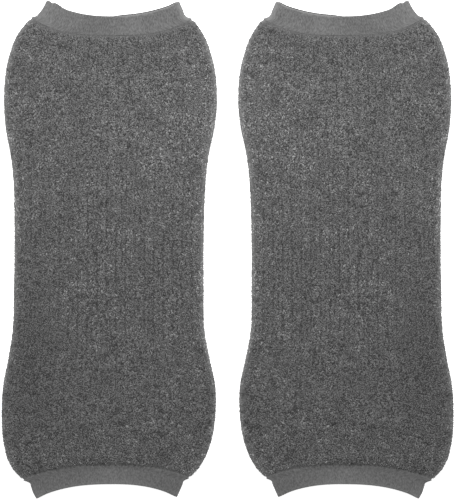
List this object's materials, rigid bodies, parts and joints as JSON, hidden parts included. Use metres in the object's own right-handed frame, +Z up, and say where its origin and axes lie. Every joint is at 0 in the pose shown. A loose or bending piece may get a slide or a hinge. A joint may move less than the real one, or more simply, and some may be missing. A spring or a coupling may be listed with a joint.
{
  "type": "pair of knee warmers",
  "caption": "Pull-on knitted knee warmers with a thick pile sleeve, narrower at the knee, and an elastic rib cuff at each end, lying flat side by side.",
  "frame": {"origin": "on the surface the pair lies on, midway between the two warmers and half way along them", "axes": "+Y up the leg from the calf cuffs to the thigh cuffs, +X towards the right warmer, +Z up from the surface"},
  "size_m": [0.3196, 0.3498, 0.0085],
  "materials": {
    "pile_knit": "hairy heathered grey knit",
    "cuff_knit": "fine elastic rib, plain grey"
  },
  "bodies": {
    "root": {"left_sleeve": "pile_knit", "left_thigh_cuff": "cuff_knit", "left_calf_cuff": "cuff_knit", "right_sleeve": "pile_knit", "right_thigh_cuff": "cuff_knit", "right_calf_cuff": "cuff_knit"}
  },
  "joints": []
}
